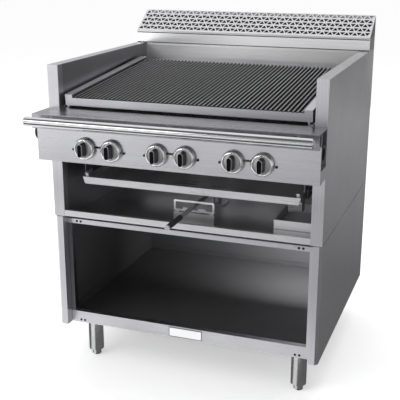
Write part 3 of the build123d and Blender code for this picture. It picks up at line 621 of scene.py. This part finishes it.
def grip_mesh(bm):
    """A rubber grip with crossed ribs and two plain collars."""
    rows = 150
    steps = 72
    collar_share = 0.04
    turns = 12
    twist_rate = 70
    rib_depth = 0.7 * MM
    end_round = 1.0 * MM
    wall = 1.6 * MM
    x = middle(grip_low, grip_high, 0)
    z = middle(grip_low, grip_high, 2)
    outer = (grip_high[0] - grip_low[0]) / 2
    length = grip_high[1] - grip_low[1]

    def vertex(radius, y, step):
        angle = 2 * math.pi * step / steps
        return bm.verts.new((x + radius * math.cos(angle), y, z + radius * math.sin(angle)))

    def rib(along, step):
        """How far the skin sinks below the outer radius."""
        if along < collar_share or along > 1 - collar_share:
            return 0.0
        angle = 2 * math.pi * step / steps
        twist = twist_rate * along
        crossed = math.cos(turns * angle + twist) * math.cos(turns * angle - twist)
        return rib_depth * (0.5 - 0.5 * crossed)

    rings = []
    for row in range(rows + 1):
        along = row / rows
        skin = outer - end_round if row in (0, rows) else outer
        rings.append([vertex(skin - rib(along, step), grip_low[1] + length * along, step)
                      for step in range(steps)])
    for first, second in zip(rings, rings[1:]):
        bridge(bm, first, second)
    for end, ring in ((grip_low[1], rings[0]), (grip_high[1], rings[-1])):
        bridge(bm, ring, [vertex(outer - wall, end, step) for step in range(steps)])


grip = mesh_object("lever_grip_ribbed", grip_mesh, grip_black)
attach(grip, "rack_lever")
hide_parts("lever_grip")


# ---------------------------------------------------------------- stage
# The floor glows a little, to meet the white behind it. The room's level is what lights the object.
FLOOR_GLOW = 0.42
ROOM_LEVEL = 0.62


def floor_mesh(bm):
    """A pale floor that reaches far past the view."""
    reach = 60.0
    bm.faces.new([bm.verts.new((x * reach, y * reach, 0.0))
                  for x, y in ((-1, -1), (1, -1), (1, 1), (-1, 1))])


floor_material = painted("floor_pale", grey(0.90), 0.75, grain_scale=60.0, grain_depth=0.05)
floor_skin = floor_material.node_tree.nodes["Principled BSDF"].inputs
floor_skin["Emission Color"].default_value = (1, 1, 1, 1)
floor_skin["Emission Strength"].default_value = FLOOR_GLOW
floor = mesh_object("studio_floor", floor_mesh, floor_material, smooth=False)


def graded(name, axis, start, end, low_level, high_level):
    """A glowing cloth whose brightness changes evenly along one axis."""
    s = Shader(name, grey(0.0), 0.0, 1.0)
    split = s.add("ShaderNodeSeparateXYZ")
    s.link(s.coords, split.inputs["Vector"])
    level = s.remap(split.outputs[axis], start, end, low_level, high_level)
    cloth = s.remap(s.noise(30.0, 3.0), 0.3, 0.7, 0.97, 1.03)
    s.out.inputs["Emission Color"].default_value = (1, 1, 1, 1)
    s.link(s.math("MULTIPLY", level, cloth), s.out.inputs["Emission Strength"])
    return s.material


def card(name, corners, material):
    """A card that only reflections see: it shades the steel as dark cloth in a studio does."""
    def build(bm):
        bm.faces.new([bm.verts.new(corner) for corner in corners])

    piece = mesh_object(name, build, material, smooth=False)
    piece.visible_camera = False
    piece.visible_diffuse = False
    piece.visible_shadow = False


def level_card(name, x0, x1, y0, y1, z, material):
    """A card that lies level, on the floor or overhead."""
    card(name, [(x0, y0, z), (x1, y0, z), (x1, y1, z), (x0, y1, z)], material)


def wall_card(name, z0, z1, material):
    """An upright card on the right, behind the cabinet."""
    x0, x1, y = 0.5, 6.0, 0.95
    card(name, [(x0, y, z0), (x1, y, z0), (x1, y, z1), (x0, y, z1)], material)


def leg_card(name, foot, gap_from, gap_to, z):
    """A dark fan round a foot, open over a wedge of directions that lights a strip of the leg."""
    low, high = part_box(foot)
    x = middle(low, high, 0)
    y = middle(low, high, 1)
    reach = 0.34
    front_limit = 0.28
    steps = 24
    corners = [(x, y, z)]
    for step in range(steps + 1):
        azimuth = math.radians(gap_to + (360 - gap_to + gap_from) * step / steps)
        forward = math.cos(azimuth)
        radius = min(reach, front_limit / forward) if forward > 0 else reach
        corners.append((x + radius * math.sin(azimuth), y - radius * forward, z))
    card(name, corners, leg_cloth)


leg_cloth = graded("leg_cloth", "X", -1.0, 1.0, 0.16, 0.16)
front_cloth = graded("front_cloth", "X", -3.0, 0.8, 1.08, 0.50)
near_cloth = graded("near_cloth", "X", -1.2, 0.3, 1.05, 0.50)
far_cloth = graded("far_cloth", "X", -4.5, -0.7, 2.8, 0.58)
side_cloth = graded("side_cloth", "Z", 0.0, 0.65, 0.18, 0.40)
high_cloth = graded("high_cloth", "Z", 0.65, 0.90, 0.40, 0.22)
low_cloth = graded("low_cloth", "X", 0.4, 3.0, 0.14, 0.22)
shade_cloth = graded("shade_cloth", "X", -0.6, 0.6, 0.07, 0.07)
dark_ceiling = graded("dark_ceiling", "X", -3.0, 3.0, 0.16, 0.16)
bright_ceiling = graded("bright_ceiling", "X", -3.0, 3.0, 1.20, 1.05)

# Where floor cards overlap, they lie half a millimetre or more apart.
WALL_SPLIT_Z = 0.65
wall_card("card_right", 0.003, WALL_SPLIT_Z, side_cloth)
wall_card("card_right_high", WALL_SPLIT_Z, 3.0, high_cloth)
card("card_right_floor", [(0.436, -0.29, 0.002), (6.0, -5.0, 0.002), (6.0, 6.0, 0.002),
                          (0.436, 6.0, 0.002)], low_cloth)
level_card("card_far", -14.0, 8.0, -20.0, -5.6, 0.001, far_cloth)
level_card("card_front", -6.0, 6.0, -5.6, -2.3, 0.001, front_cloth)
level_card("card_near", -6.0, 6.0, -2.3, -0.75, 0.001, near_cloth)
card("card_under_rail", [(-1.2, -0.59, 0.60), (0.6, -0.59, 0.60), (0.6, -1.2, 0.40), (-1.2, -1.2, 0.40)],
     shade_cloth)
leg_card("card_leg_left", "foot_front_left", -52, 6, 0.0010)
leg_card("card_leg_right", "foot_front_right", -66, -8, 0.0015)
level_card("card_ceiling_front", -4.0, 4.0, -4.2, -0.75, 3.3, dark_ceiling)
level_card("card_ceiling_rear", -5.0, 5.0, -0.60, 5.0, 3.95, bright_ceiling)

# ---------------------------------------------------------------- light
world = bpy.data.worlds.new("studio")
scene.world = world
world.use_nodes = True
background = world.node_tree.nodes["Background"]
background.inputs["Color"].default_value = (1.0, 1.0, 1.0, 1.0)
# The room is dimmer than the white backdrop that is seen behind the object.
seen = world.node_tree.nodes.new("ShaderNodeLightPath")
level = world.node_tree.nodes.new("ShaderNodeMapRange")
level.inputs["To Min"].default_value = ROOM_LEVEL
level.inputs["To Max"].default_value = 1.0
world.node_tree.links.new(seen.outputs["Is Camera Ray"], level.inputs["Value"])
world.node_tree.links.new(level.outputs["Result"], background.inputs["Strength"])


def area_light(name, place, target, size, power, glossy=True):
    """A lamp that the camera does not see, and that reflections see only if glossy."""
    data = bpy.data.lights.new(name, "AREA")
    data.shape = "RECTANGLE"
    data.size, data.size_y = size
    data.energy = power
    lamp = bpy.data.objects.new(name, data)
    scene.collection.objects.link(lamp)
    lamp.location = place
    aim = Vector(target) - Vector(place)
    lamp.rotation_euler = aim.to_track_quat("-Z", "Y").to_euler()
    lamp.visible_camera = False
    lamp.visible_glossy = glossy


area_light("key", (-2.4, -3.2, 3.2), (0, 0, 0.7), (2.6, 2.6), 60)
area_light("top", (0.2, 0.6, 3.6), (0, 0, 0.6), (3.0, 2.4), 45, glossy=False)
area_light("cavity_glow", (-0.05, 0.12, 0.61), (-0.05, 0.16, 0.5), (0.5, 0.10), 0.20)
area_light("cavity_strip", (0.0, -0.75, 0.42), (0.0, -0.33, 0.56), (0.80, 0.05), 0.8, glossy=False)
area_light("base_glow", (0.28, 0.12, 0.45), (0.30, 0.45, 0.38), (0.26, 0.10), 9.0, glossy=False)

# ---------------------------------------------------------------- camera
# Solved from the photo's straight edges: place in metres, tilt below level and turn to the right of
# square in degrees, and lens in millimetres.
CAMERA_PLACE = (0.8606, -2.4950, 1.3386)
CAMERA_TILT = 17.01
CAMERA_TURN = 20.04
CAMERA_LENS = 74.23
camera_data = bpy.data.cameras.new("camera")
camera = bpy.data.objects.new("camera", camera_data)
scene.collection.objects.link(camera)
camera.location = CAMERA_PLACE
camera.rotation_euler = (math.radians(90 - CAMERA_TILT), 0.0, math.radians(CAMERA_TURN))
camera_data.sensor_width = 36.0
camera_data.lens = CAMERA_LENS
scene.camera = camera
scene.view_settings.view_transform = "Standard"
